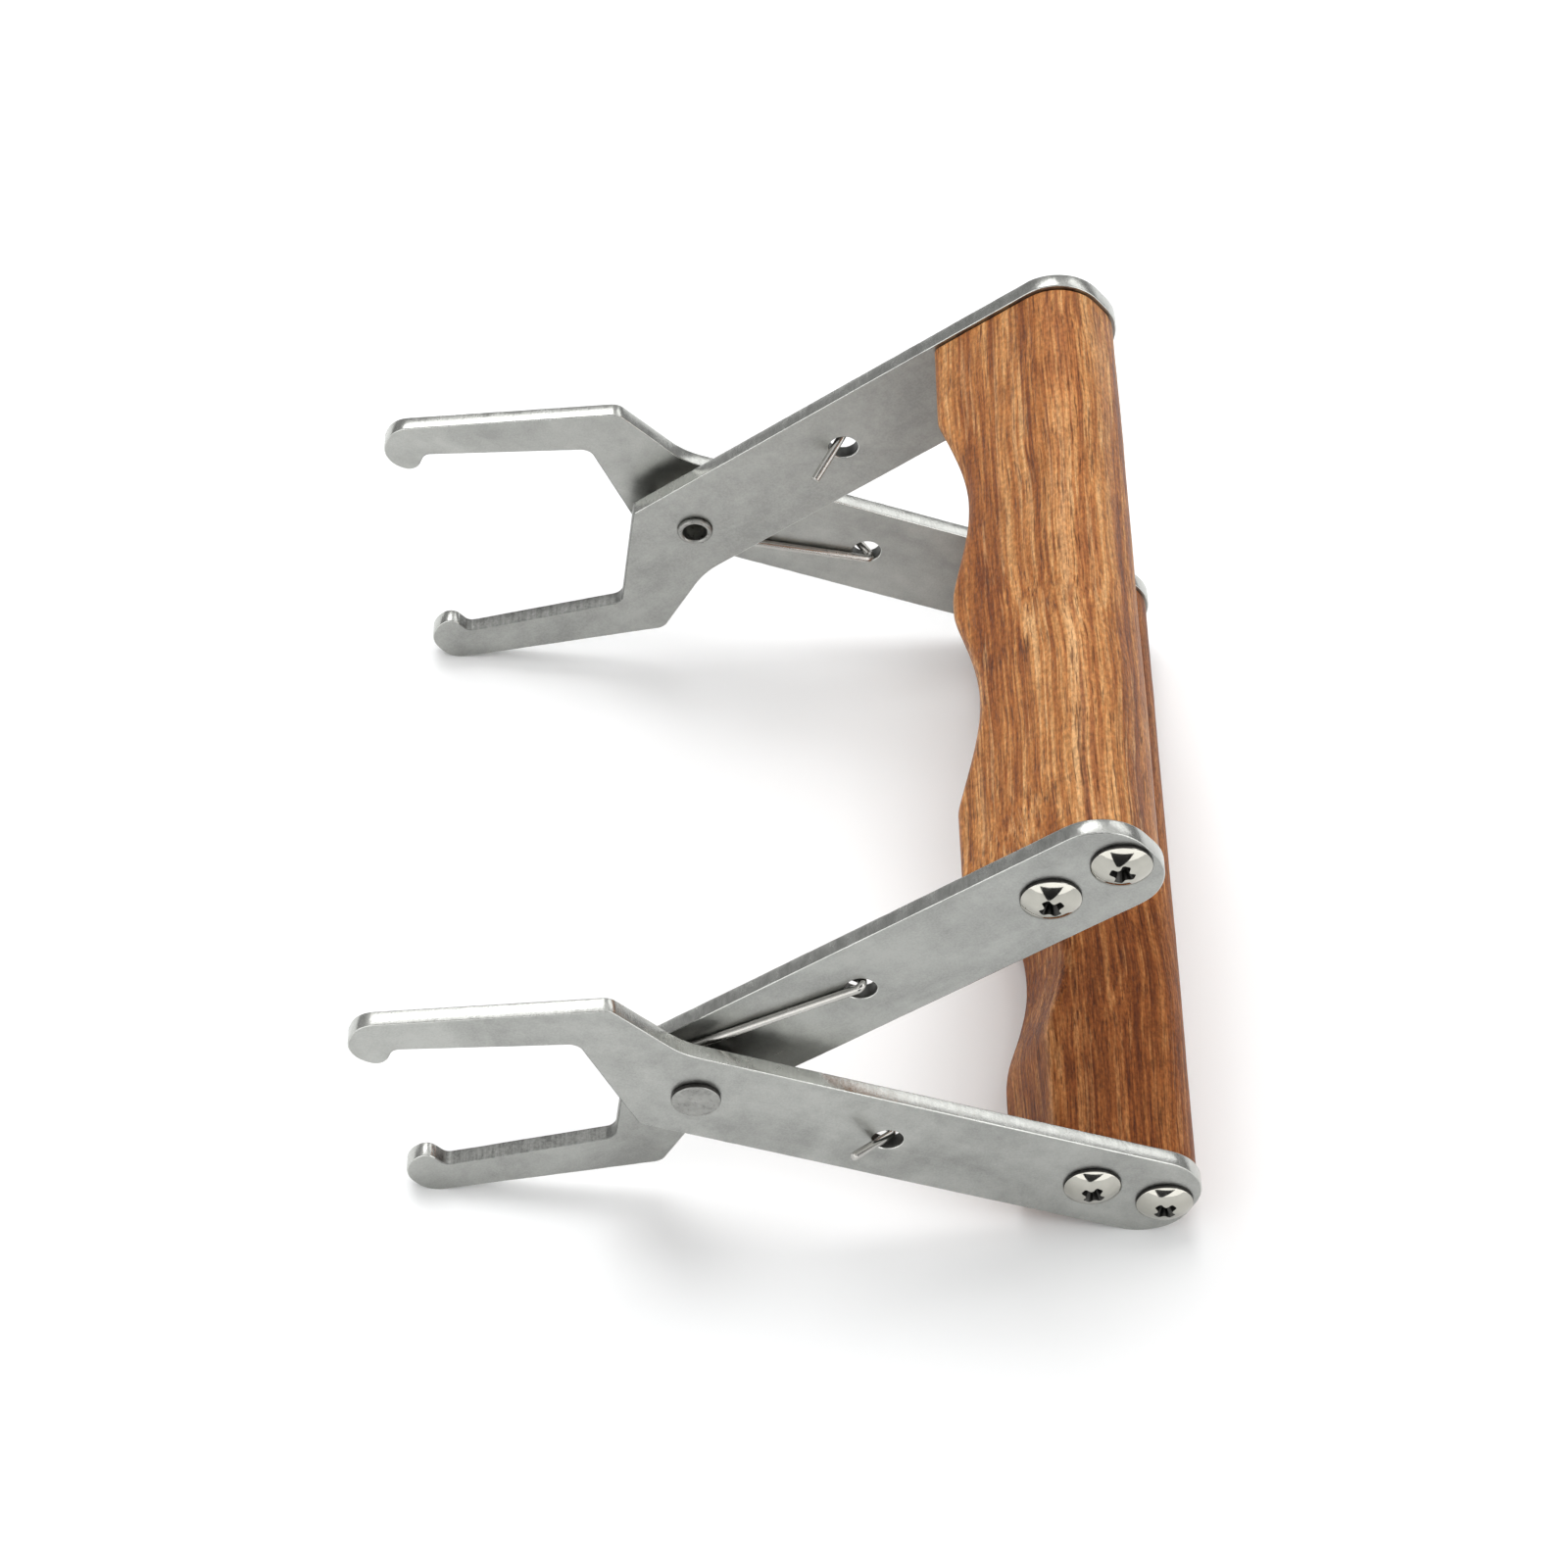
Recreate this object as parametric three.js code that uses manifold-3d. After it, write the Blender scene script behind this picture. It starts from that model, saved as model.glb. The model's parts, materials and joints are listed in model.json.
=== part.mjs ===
// Beehive frame grip: a spring-open hand tool that lifts a frame out of a hive by its top bar.
// Two arms cross on a pair of rivets. Each arm is a wooden handle screwed between two flat steel
// plates that end in hooked jaws. Squeezing the handles brings the hooks together, and a torsion
// spring round each rivet opens them again.
//
// Millimetres, +X from the jaws to the handles, +Y along the pivot axis, +Z up. The grip stands
// open on the lower jaw tips and the lower handle's plate ends.
//
// An arm is drawn in its own coordinates: u from the pivot towards its handle, v towards the
// arm's outer side, w along the pivot axis.

import * as THREE from 'three';
import { mergeVertices } from 'three/addons/utils/BufferGeometryUtils.js';
import Module from 'manifold-3d';

const wasm = await Module();
wasm.setup();

// Overall arrangement
const OVERALL_WIDTH = 146;                                // over the outer plates
const PLATE_THICKNESS = 3;
const PLATE_GAP = 3.4;                                    // between outer and inner plate
const HALF_OPEN_ANGLE = THREE.MathUtils.degToRad(30);   // each arm from the tool's centre line
const CLEARANCE = 0.2;                                    // between pieces that touch

// Arm plate outline
const ARM_HALF_HEIGHT = 11;
const ARM_END_U = 97.3;
const ARM_END_RADIUS = 9.5;
const THROAT_TOP_U = -6.6;
const THROAT_BOTTOM = { u: -24.7, v: -7.35 };
const KNEE = { u: -22.9, v: -18.5 };
const JAW_TIP_U = -62.2;
const JAW_TIP_LOW_V = 1.15;
const TIP_RADIUS = 5;
const HOOK_INNER_U = -54.15;
const HOOK_ROOT_V = 5.48;
const HOOK_TOP_V = 10.5;

// Wooden handles
const HANDLE_FRONT_U = 65.2;
const HANDLE_INSET = 0.5;                                 // wood inside the plate edge
const HANDLE_FRONT_RADIUS = 3;
const GROOVE_DEPTH = 4.9;
const CREST_DROP = 1.3;                                   // middle crest below the end faces
const UPPER_GROOVE_REACH = 46.4;                          // groove length either side of the crest
const UPPER_CREST_W = 2;                                  // the crest sits off the middle
const LOWER_GROOVE_REACH = 45.5;

// Pivot: semi-tubular rivet, spacer bush and torsion spring
const RIVET_RADIUS = 3;
const RIVET_HEAD_RADIUS = 4.4;
const RIVET_HEAD_HEIGHT = 1.2;
const RIVET_TAIL_HEIGHT = 0.9;
const RIVET_TAIL_RADIUS = 3.45;
const RIVET_BORE_RADIUS = 2.3;
const RIVET_BORE_DEPTH = 5;
const BUSH_RADIUS = 5;
const PIVOT_HOLE_RADIUS = 3.25;
const WIRE_RADIUS = 0.8;
const WIRE_CLEARANCE = 0.05;
const COIL_RADIUS = 7;
const SPRING_HOLE_U = 36.7;
const SPRING_HOLE_RADIUS = 2.8;
const WIRE_BEND_RADIUS = 1.05;
const WIRE_BEND_U = 36.9;
const WIRE_BEND_V = 1.2;
const STUB_LEAN = THREE.MathUtils.degToRad(43);           // stub from the plate's face
const STUB_LENGTH = 10.4;

// Handle screws
const SCREW_US = [77, 91.5];
const SCREW_HEAD_RADIUS = 5.3;
const SCREW_HEAD_HEIGHT = 2.5;
const SCREW_RIM_HEIGHT = 0.5;
const SCREW_SHANK_RADIUS = 2;
const SCREW_LENGTH = 20;                                  // under the head
const SCREW_POINT_LENGTH = 4;
const SCREW_HOLE_RADIUS = 2.3;
const RECESS_SPAN = 5;
const RECESS_WIDTH = 1.1;
const RECESS_DEPTH = 1.6;
const RECESS_TURN = THREE.MathUtils.degToRad(40);

// Distances from the middle of the tool to the faces of the plates
const OUTER_FACE = OVERALL_WIDTH / 2;
const OUTER_GAP_FACE = OUTER_FACE - PLATE_THICKNESS;
const INNER_GAP_FACE = OUTER_GAP_FACE - PLATE_GAP;
const INNER_FACE = INNER_GAP_FACE - PLATE_THICKNESS;

const steel = new THREE.MeshStandardMaterial({ color: 0xa9aba8, roughness: 0.42, metalness: 1 });
const screwSteel = new THREE.MeshStandardMaterial({ color: 0xd2d0cc, roughness: 0.15, metalness: 1 });
const springSteel = new THREE.MeshStandardMaterial({ color: 0xb9b8b3, roughness: 0.3, metalness: 1 });
const wood = new THREE.MeshStandardMaterial({ color: 0xbd7f50, roughness: 0.5, metalness: 0 });

// Solids

function toSolid(geometry) {
  geometry.deleteAttribute('normal');
  geometry.deleteAttribute('uv');
  const merged = mergeVertices(geometry, 1e-4);
  return new wasm.Manifold(new wasm.Mesh({
    numProp: 3,
    vertProperties: new Float32Array(merged.attributes.position.array),
    triVerts: new Uint32Array(merged.index.array),
  }));
}

function toGeometry(solid) {
  const { vertProperties, triVerts } = solid.getMesh();
  const geometry = new THREE.BufferGeometry();
  geometry.setAttribute('position', new THREE.BufferAttribute(vertProperties, 3));
  geometry.setIndex(new THREE.BufferAttribute(triVerts, 1));
  geometry.computeVertexNormals();
  return geometry;
}

function addPiece(parent, name, geometry, material) {
  const mesh = new THREE.Mesh(geometry, material);
  mesh.name = name;
  parent.add(mesh);
  return mesh;
}

// Outlines

// A closed outline through [u, v, radius] corners, each rounded by an arc.
function roundedOutline(corners, degreesPerStep = 12) {
  const points = [];
  corners.forEach(([u, v, radius], i) => {
    const corner = new THREE.Vector2(u, v);
    const toward = (j) => {
      const [nextU, nextV] = corners[(j + corners.length) % corners.length];
      return new THREE.Vector2(nextU, nextV).sub(corner).normalize();
    };
    const before = toward(i - 1);
    const after = toward(i + 1);
    const halfAngle = Math.acos(before.dot(after)) / 2;
    const centre = before.clone().add(after).setLength(radius / Math.sin(halfAngle)).add(corner);
    const start = before.multiplyScalar(radius / Math.tan(halfAngle)).add(corner).sub(centre);
    const end = after.multiplyScalar(radius / Math.tan(halfAngle)).add(corner).sub(centre);
    const sweep = Math.atan2(start.cross(end), start.dot(end));
    const steps = Math.max(2, Math.ceil(THREE.MathUtils.radToDeg(Math.abs(sweep)) / degreesPerStep));
    for (let k = 0; k <= steps; k++) {
      points.push(start.clone().rotateAround(new THREE.Vector2(), (sweep * k) / steps).add(centre));
    }
  });
  return points;
}

function circle(u, v, radius, steps) {
  const points = [];
  for (let k = 0; k < steps; k++) {
    const angle = (-2 * Math.PI * k) / steps;
    points.push(new THREE.Vector2(u + radius * Math.cos(angle), v + radius * Math.sin(angle)));
  }
  return new THREE.Path(points);
}

function extrude(shape, depth) {
  return new THREE.ExtrudeGeometry(shape, { depth, bevelEnabled: false });
}

// Arm plates

function plateGeometry() {
  const shape = new THREE.Shape(roundedOutline([
    [ARM_END_U, ARM_HALF_HEIGHT, ARM_END_RADIUS],
    [THROAT_TOP_U, ARM_HALF_HEIGHT, 1],
    [THROAT_BOTTOM.u, THROAT_BOTTOM.v, 2.7],
    [HOOK_INNER_U, HOOK_ROOT_V, 1.8],
    [HOOK_INNER_U, HOOK_TOP_V, 2.2],
    [JAW_TIP_U, HOOK_TOP_V, 5.5],
    [JAW_TIP_U, JAW_TIP_LOW_V, TIP_RADIUS],
    [KNEE.u, KNEE.v, 3],
    [THROAT_TOP_U, -ARM_HALF_HEIGHT, 16],
    [ARM_END_U, -ARM_HALF_HEIGHT, ARM_END_RADIUS],
  ]));
  shape.holes.push(circle(0, 0, PIVOT_HOLE_RADIUS, 32));
  shape.holes.push(circle(SPRING_HOLE_U, 0, SPRING_HOLE_RADIUS, 24));
  for (const u of SCREW_US) shape.holes.push(circle(u, 0, SCREW_HOLE_RADIUS, 16));
  return extrude(shape, PLATE_THICKNESS);
}

// Handles

// How far the front of a handle is cut back at a distance w from its crest.
function grooveDepth(w, reach) {
  const along = Math.min(Math.abs(w) / reach, 1);
  const groove = GROOVE_DEPTH * Math.sin(Math.PI * along);
  const crest = CREST_DROP * (1 - along) ** 3;
  return Math.hypot(groove, crest);
}

function handleGeometry(halfLength, reach, crestW) {
  const backU = ARM_END_U - HANDLE_INSET;
  const halfHeight = ARM_HALF_HEIGHT - HANDLE_INSET;
  const backRadius = ARM_END_RADIUS - HANDLE_INSET;
  const section = new THREE.Shape(roundedOutline([
    [backU, halfHeight, backRadius],
    [HANDLE_FRONT_U, halfHeight, HANDLE_FRONT_RADIUS],
    [HANDLE_FRONT_U, -halfHeight, HANDLE_FRONT_RADIUS],
    [backU, -halfHeight, backRadius],
  ]));
  const blank = toSolid(extrude(section, 2 * halfLength).translate(0, 0, -halfLength));

  // Seen along v, the front of the handle has two long finger grooves with a crest between.
  const plan = [new THREE.Vector2(halfLength + 1, backU + 1), new THREE.Vector2(-halfLength - 1, backU + 1)];
  plan.push(new THREE.Vector2(-halfLength - 1, HANDLE_FRONT_U));
  const steps = 56;
  for (let k = 0; k <= steps; k++) {
    const w = reach * ((2 * k) / steps - 1);
    plan.push(new THREE.Vector2(crestW + w, HANDLE_FRONT_U + grooveDepth(w, reach)));
  }
  plan.push(new THREE.Vector2(halfLength + 1, HANDLE_FRONT_U));
  const planToArm = new THREE.Matrix4().makeBasis(
    new THREE.Vector3(0, 0, 1), new THREE.Vector3(1, 0, 0), new THREE.Vector3(0, 1, 0),
  );
  const planPrism = extrude(new THREE.Shape(plan), 2 * ARM_HALF_HEIGHT).translate(0, 0, -ARM_HALF_HEIGHT);
  let handle = blank.intersect(toSolid(planPrism.applyMatrix4(planToArm)));

  const pilotDepth = SCREW_LENGTH - PLATE_THICKNESS + 1;
  for (const u of SCREW_US) {
    for (const side of [-1, 1]) {
      const pilot = new THREE.CylinderGeometry(SCREW_HOLE_RADIUS, SCREW_HOLE_RADIUS, 2 * pilotDepth, 12);
      handle = handle.subtract(toSolid(pilot.rotateX(Math.PI / 2).translate(u, 0, side * halfLength)));
    }
  }
  return toGeometry(handle);
}

// Fasteners. Each stands on w = 0 with its head towards +w.

function lathe(profile, steps) {
  const points = profile.map(([radius, w]) => new THREE.Vector2(radius, w));
  return new THREE.LatheGeometry(points, steps).rotateX(Math.PI / 2);
}

function screwGeometry() {
  const profile = [[0, -SCREW_LENGTH]];
  profile.push([SCREW_SHANK_RADIUS, -SCREW_LENGTH + SCREW_POINT_LENGTH]);
  profile.push([SCREW_SHANK_RADIUS, 0], [SCREW_HEAD_RADIUS - 0.2, 0], [SCREW_HEAD_RADIUS, SCREW_RIM_HEIGHT]);
  const domeSteps = 4;
  for (let k = 1; k <= domeSteps; k++) {
    const angle = (Math.PI / 2) * (k / domeSteps);
    const radius = k === domeSteps ? 0 : SCREW_HEAD_RADIUS * Math.cos(angle);
    profile.push([radius, SCREW_RIM_HEIGHT + (SCREW_HEAD_HEIGHT - SCREW_RIM_HEIGHT) * Math.sin(angle)]);
  }
  let screw = toSolid(lathe(profile, 20));
  for (const turn of [RECESS_TURN, RECESS_TURN + Math.PI / 2]) {
    const slot = new THREE.BoxGeometry(RECESS_SPAN, RECESS_WIDTH, 2 * RECESS_DEPTH);
    screw = screw.subtract(toSolid(slot.rotateZ(turn).translate(0, 0, SCREW_HEAD_HEIGHT)));
  }
  return toGeometry(screw);
}

// The head bears on the outer plate, and the hollow tail is rolled over inside the inner plate.
function rivetGeometry() {
  const tailW = INNER_FACE - OUTER_FACE - CLEARANCE;
  const tailEndW = tailW - RIVET_TAIL_HEIGHT;
  return lathe([
    [0, tailEndW + RIVET_BORE_DEPTH],
    [RIVET_BORE_RADIUS, tailEndW + RIVET_BORE_DEPTH],
    [RIVET_BORE_RADIUS, tailEndW],
    [RIVET_TAIL_RADIUS - 0.4, tailEndW],
    [RIVET_TAIL_RADIUS, tailEndW + 0.4],
    [RIVET_TAIL_RADIUS, tailW],
    [RIVET_RADIUS, tailW],
    [RIVET_RADIUS, CLEARANCE],
    [RIVET_HEAD_RADIUS, CLEARANCE],
    [RIVET_HEAD_RADIUS, RIVET_HEAD_HEIGHT - 0.4],
    [RIVET_HEAD_RADIUS - 0.5, RIVET_HEAD_HEIGHT],
    [0, RIVET_HEAD_HEIGHT],
  ], 24);
}

function bushGeometry() {
  const halfLength = PLATE_GAP / 2 - CLEARANCE;
  return lathe([
    [PIVOT_HOLE_RADIUS, -halfLength],
    [BUSH_RADIUS, -halfLength],
    [BUSH_RADIUS, halfLength],
    [PIVOT_HOLE_RADIUS, halfLength],
    [PIVOT_HOLE_RADIUS, -halfLength],
  ], 24);
}

// Torsion springs

// A curve that visits its points at even steps of its parameter, so that long straight legs
// take one step and tight bends take several.
class SteppedPath extends THREE.Curve {
  constructor(points) {
    super();
    this.points = points;
  }

  getUtoTmapping(u) {
    return u;
  }

  getPoint(t, target = new THREE.Vector3()) {
    const place = THREE.MathUtils.clamp(t, 0, 1) * (this.points.length - 1);
    const index = Math.min(Math.floor(place), this.points.length - 2);
    return target.lerpVectors(this.points[index], this.points[index + 1], place - index);
  }
}

const LEG_TANGENT_ANGLE = Math.atan2(WIRE_BEND_V, WIRE_BEND_U)
  + Math.acos(COIL_RADIUS / Math.hypot(WIRE_BEND_U, WIRE_BEND_V));
const LEG_DEPTH = -(WIRE_RADIUS + WIRE_CLEARANCE);

// One leg from the coil outwards, as [u, v, depth into the plate from its gap side]. It runs
// along the plate to its hole, turns back through the hole and ends in a leaning stub.
function legPoints() {
  const points = [[WIRE_BEND_U, WIRE_BEND_V, LEG_DEPTH]];
  const bendSteps = 6;
  const sweep = Math.PI - STUB_LEAN;
  for (let k = 1; k <= bendSteps; k++) {
    const angle = -Math.PI / 2 + (sweep * k) / bendSteps;
    const depth = LEG_DEPTH + WIRE_BEND_RADIUS * (1 + Math.sin(angle));
    points.push([WIRE_BEND_U + WIRE_BEND_RADIUS * Math.cos(angle), WIRE_BEND_V, depth]);
  }
  const [u, v, depth] = points.at(-1);
  points.push([
    u - STUB_LENGTH * Math.cos(STUB_LEAN), v * 0.4, depth + STUB_LENGTH * Math.sin(STUB_LEAN),
  ]);
  return points;
}

// side is -1 for the spring at -Y and 1 for the one at +Y.
function springGeometry(side, upperAngle, lowerAngle) {
  const onArm = ([u, v, depth], angle, outerSign, gapFace, depthSign) => new THREE.Vector3(
    u * Math.cos(angle) - outerSign * v * Math.sin(angle),
    side * (gapFace + depthSign * depth),
    u * Math.sin(angle) + outerSign * v * Math.cos(angle),
  );
  const lowerLeg = legPoints().map((point) => onArm(point, lowerAngle, -1, OUTER_GAP_FACE, 1));
  const upperLeg = legPoints().map((point) => onArm(point, upperAngle, 1, INNER_GAP_FACE, -1));

  // The coil lies flat on each plate where its turns pass each other, and crosses the gap between.
  const startAngle = lowerAngle - LEG_TANGENT_ANGLE;
  const overlap = 2 * Math.PI - (upperAngle + LEG_TANGENT_ANGLE - startAngle);
  const sweep = 2 * Math.PI + overlap;
  const coil = [];
  const coilSteps = 36;
  for (let k = 0; k <= coilSteps; k++) {
    const turned = (sweep * k) / coilSteps;
    const across = THREE.MathUtils.smoothstep(turned, overlap, 2 * Math.PI);
    const y = THREE.MathUtils.lerp(OUTER_GAP_FACE + LEG_DEPTH, INNER_GAP_FACE - LEG_DEPTH, across);
    const angle = startAngle - turned;
    coil.push(new THREE.Vector3(COIL_RADIUS * Math.cos(angle), side * y, COIL_RADIUS * Math.sin(angle)));
  }
  const points = [...lowerLeg.reverse(), ...coil, ...upperLeg];
  const wire = new THREE.Shape(circle(0, 0, WIRE_RADIUS, 8).getPoints());
  const extrudePath = new SteppedPath(points);
  return new THREE.ExtrudeGeometry(wire, { steps: points.length - 1, bevelEnabled: false, extrudePath });
}

// Standing attitude: the lowest arcs of the lower jaw tip and of the lower plate end both
// touch the ground.

function standTilt() {
  const jaw = new THREE.Vector2(JAW_TIP_U + TIP_RADIUS, JAW_TIP_LOW_V + TIP_RADIUS * 0.62)
    .rotateAround(new THREE.Vector2(), HALF_OPEN_ANGLE);
  const end = new THREE.Vector2(ARM_END_U - ARM_END_RADIUS, ARM_END_RADIUS - ARM_HALF_HEIGHT)
    .rotateAround(new THREE.Vector2(), -HALF_OPEN_ANGLE);
  const between = end.sub(jaw);
  return Math.asin((ARM_END_RADIUS - TIP_RADIUS) / between.length()) - Math.atan2(between.y, between.x);
}

const TILT = standTilt();
const UPPER_ANGLE = HALF_OPEN_ANGLE + TILT;
const LOWER_ANGLE = -HALF_OPEN_ANGLE + TILT;

// Assembly

const grip = new THREE.Group();

// An arm's frame: v points up on the upper arm and down on the lower one, and w points to -Y
// on the upper arm and to +Y on the lower one.
function armFrame(angle, outerSign) {
  const frame = new THREE.Group();
  frame.rotation.set((outerSign * Math.PI) / 2, -angle, 0, 'YXZ');
  grip.add(frame);
  return frame;
}

function sideName(outerSign, wSign) {
  return outerSign * wSign > 0 ? 'near' : 'far';
}

function buildArm({ frame, outerSign, handleName, plateName, innerFace, grooveReach, crestW }) {
  addPiece(frame, handleName, handleGeometry(innerFace - CLEARANCE, grooveReach, crestW), wood);
  for (const wSign of [1, -1]) {
    const side = sideName(outerSign, wSign);
    const plate = addPiece(frame, `${plateName}_${side}`, plateGeometry(), steel);
    plate.position.z = wSign > 0 ? innerFace : -innerFace - PLATE_THICKNESS;
    SCREW_US.forEach((u, i) => {
      const screw = addPiece(frame, `${handleName}_screw_${side}_${i + 1}`, screwGeometry(), screwSteel);
      screw.position.set(u, 0, wSign * (innerFace + PLATE_THICKNESS + CLEARANCE / 2));
      if (wSign < 0) screw.rotation.x = Math.PI;
    });
  }
}

const upperFrame = armFrame(UPPER_ANGLE, 1);
const lowerFrame = armFrame(LOWER_ANGLE, -1);

buildArm({
  frame: upperFrame,
  outerSign: 1,
  handleName: 'upper_handle',
  plateName: 'inner_plate',
  innerFace: INNER_FACE,
  grooveReach: UPPER_GROOVE_REACH,
  crestW: UPPER_CREST_W,
});
buildArm({
  frame: lowerFrame,
  outerSign: -1,
  handleName: 'lower_handle',
  plateName: 'outer_plate',
  innerFace: OUTER_GAP_FACE,
  grooveReach: LOWER_GROOVE_REACH,
  crestW: 0,
});

for (const wSign of [1, -1]) {
  const side = sideName(-1, wSign);
  const rivet = addPiece(lowerFrame, `pivot_rivet_${side}`, rivetGeometry(), steel);
  rivet.position.z = wSign * OUTER_FACE;
  if (wSign < 0) rivet.rotation.x = Math.PI;
  const bush = addPiece(lowerFrame, `pivot_bush_${side}`, bushGeometry(), steel);
  bush.position.z = (wSign * (OUTER_GAP_FACE + INNER_GAP_FACE)) / 2;
  addPiece(grip, `torsion_spring_${side}`, springGeometry(wSign, UPPER_ANGLE, LOWER_ANGLE), springSteel);
}

// The origin is on the ground under the middle of the tool.
const part = new THREE.Group();
part.add(grip);
part.updateMatrixWorld(true);
const box = new THREE.Box3().setFromObject(grip, true);
grip.position.set(-(box.min.x + box.max.x) / 2, -(box.min.y + box.max.y) / 2, -box.min.z);

export default part;
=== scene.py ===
"""Beehive frame grip: detailed steel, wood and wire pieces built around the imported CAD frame."""
import json
import math

import bpy
from mathutils import Matrix, Vector, noise
from mathutils.geometry import tessellate_polygon


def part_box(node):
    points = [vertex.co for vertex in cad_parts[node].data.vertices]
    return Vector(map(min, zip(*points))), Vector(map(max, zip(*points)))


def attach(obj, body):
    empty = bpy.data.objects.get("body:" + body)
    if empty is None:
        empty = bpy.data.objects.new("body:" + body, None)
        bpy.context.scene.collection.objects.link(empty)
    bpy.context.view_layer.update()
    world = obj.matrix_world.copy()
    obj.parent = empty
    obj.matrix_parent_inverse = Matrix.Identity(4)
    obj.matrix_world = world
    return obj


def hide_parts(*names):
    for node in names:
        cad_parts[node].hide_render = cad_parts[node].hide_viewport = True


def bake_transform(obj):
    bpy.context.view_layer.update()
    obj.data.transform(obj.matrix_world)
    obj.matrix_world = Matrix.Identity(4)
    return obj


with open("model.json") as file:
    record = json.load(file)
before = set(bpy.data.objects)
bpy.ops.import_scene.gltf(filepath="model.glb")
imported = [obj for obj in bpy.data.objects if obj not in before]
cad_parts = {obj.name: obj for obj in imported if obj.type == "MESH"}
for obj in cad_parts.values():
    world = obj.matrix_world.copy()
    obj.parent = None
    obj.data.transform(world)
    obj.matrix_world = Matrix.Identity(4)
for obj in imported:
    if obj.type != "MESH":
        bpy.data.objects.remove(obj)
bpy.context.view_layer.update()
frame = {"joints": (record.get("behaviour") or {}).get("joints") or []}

# Lengths of the tool are in millimetres, in an arm's own coordinates: u from the pivot towards
# the handle, v towards the arm's outer side, w along the pivot axis. Lengths of the camera and
# the stage are in metres, in the row frame.
MM = 0.001

# Plates: their faces' distances from the middle of the tool, and their outline's corners, as
# (u, v, corner radius), anticlockwise from the handle's end
PLATE_THICKNESS = 3.0
OUTER_FACE = 73.0
OUTER_GAP_FACE = 70.0
INNER_GAP_FACE = 66.6
INNER_FACE = 63.6
CLEARANCE = 0.2
PLATE_CORNERS = [
    (97.3, 11.0, 9.5), (-6.6, 11.0, 1.0), (-24.7, -7.35, 2.7), (-54.15, 5.48, 1.8),
    (-54.15, 10.5, 2.2), (-62.2, 10.5, 5.5), (-62.2, 1.15, 5.0), (-22.9, -18.5, 3.0),
    (-6.6, -11.0, 16.0), (97.3, -11.0, 9.5),
]
PIVOT_HOLE_RADIUS = 3.25
# The spring's hole, as (u, radius)
SPRING_HOLE = (36.7, 2.8)
SCREW_US = (77.0, 91.5)
SCREW_HOLE_RADIUS = 2.3
EDGE_ROUNDING = 0.2
# Unevenness of that rounding, as (noise scale per mm, share of the rounding)
EDGE_WEAR = (0.35, 0.45)
EDGE_NICKS = (1.7, 0.3)

# Handles
HANDLE_FRONT_U = 65.2
HANDLE_BACK_U = 96.8
HANDLE_HALF_HEIGHT = 10.5
HANDLE_BACK_RADIUS = 9.0
END_CORNER_RADIUS = 1.8
GROOVE_CORNER_RADIUS = 3.6
HANDLE_END_ROUNDING = 0.45
GROOVE_DEPTH = 4.9
CREST_DROP = 1.3
UPPER_GROOVE_REACH = 46.4
UPPER_CREST_W = 2.0
UPPER_CORNER_EASING = 0.9
LOWER_GROOVE_REACH = 45.5
LOWER_CREST_W = 0.0
LOWER_CORNER_EASING = 3.6
# The wood's surface waves, as (length, height), and how far in the surface is set for them
LONG_WAVES = (22, 0.16)
SHORT_WAVES = (6, 0.035)
SURFACE_INSET = 0.12
ROWS_PER_MM = 1.3

# Screws
HEAD_RADIUS = 5.3
HEAD_HEIGHT = 2.5
HEAD_RIM = 0.5
SHANK_RADIUS = 2.0
SCREW_LENGTH = 20.0
THREAD_PITCH = 1.4
THREAD_DEPTH = 0.45
THREAD_END = -4
# The side of a screw's or rivet's head reaches this far in from its outer radius
RIM_BAND = 0.4
# The cross recess from above the head down to its floor, as (half span, half width, radius of
# the inner corners, radius of the ends' corners, w)
RECESS_LEVELS = [
    (2.85, 0.98, 0.6, 0.5, HEAD_HEIGHT + 0.5), (2.2, 0.74, 0.5, 0.36, HEAD_HEIGHT - 0.3),
    (1.0, 0.4, 0.24, 0.16, HEAD_HEIGHT - 1.9),
]
# How far each screw was driven round, in degrees: upper handle, then lower
SCREW_TURNS = iter((-5, 35, 58, 77, 79, 64, 52, 24))

# Pivot
RIVET_RADIUS = 3.0
RIVET_HEAD_RADIUS = 4.4
RIVET_HEAD_HEIGHT = 1.2
RIVET_TAIL_RADIUS = 3.45
RIVET_TAIL_HEIGHT = 0.9
RIVET_BORE_RADIUS = 2.3
RIVET_BORE_DEPTH = 5.0
BUSH_RADIUS = 5.0

# Springs
WIRE_RADIUS = 0.8
COIL_RADIUS = 7.0
# How deep in the plate a leg's middle line lies: it is negative, because the leg lies in the gap
LEG_DEPTH = -0.85
# Where a leg turns back through its hole, as (u, v, bend radius)
WIRE_BEND = (36.9, 1.2, 1.05)
STUB_LEAN = math.radians(43)
STUB_LENGTH = 10.4
# The wire's rounded ends, as (outwards, radius) in shares of the wire's radius
WIRE_END = ((0.18, 0.96), (0.32, 0.83), (0.4, 0.62))


# Arms

joint = next(j for j in frame["joints"] if j["name"] == "squeeze")
pivot = Vector(joint["pos_m"])


def arm_frame(screw_node, outer_sign):
    """An arm's coordinates as a matrix, from the place of its outermost screw."""
    low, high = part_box(screw_node)
    along = (low + high) / 2 - pivot
    angle = math.atan2(along.z, along.x)
    u = Vector((math.cos(angle), 0, math.sin(angle)))
    v = Vector((-math.sin(angle), 0, math.cos(angle))) * outer_sign
    matrix = Matrix((u, v, u.cross(v))).transposed().to_4x4()
    matrix.translation = pivot
    return matrix, angle


upper_frame, upper_angle = arm_frame("upper_handle_screw_near_2", 1)
lower_frame, lower_angle = arm_frame("lower_handle_screw_near_2", -1)
SIDES = {"near": -1, "far": 1}


# Materials

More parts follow.
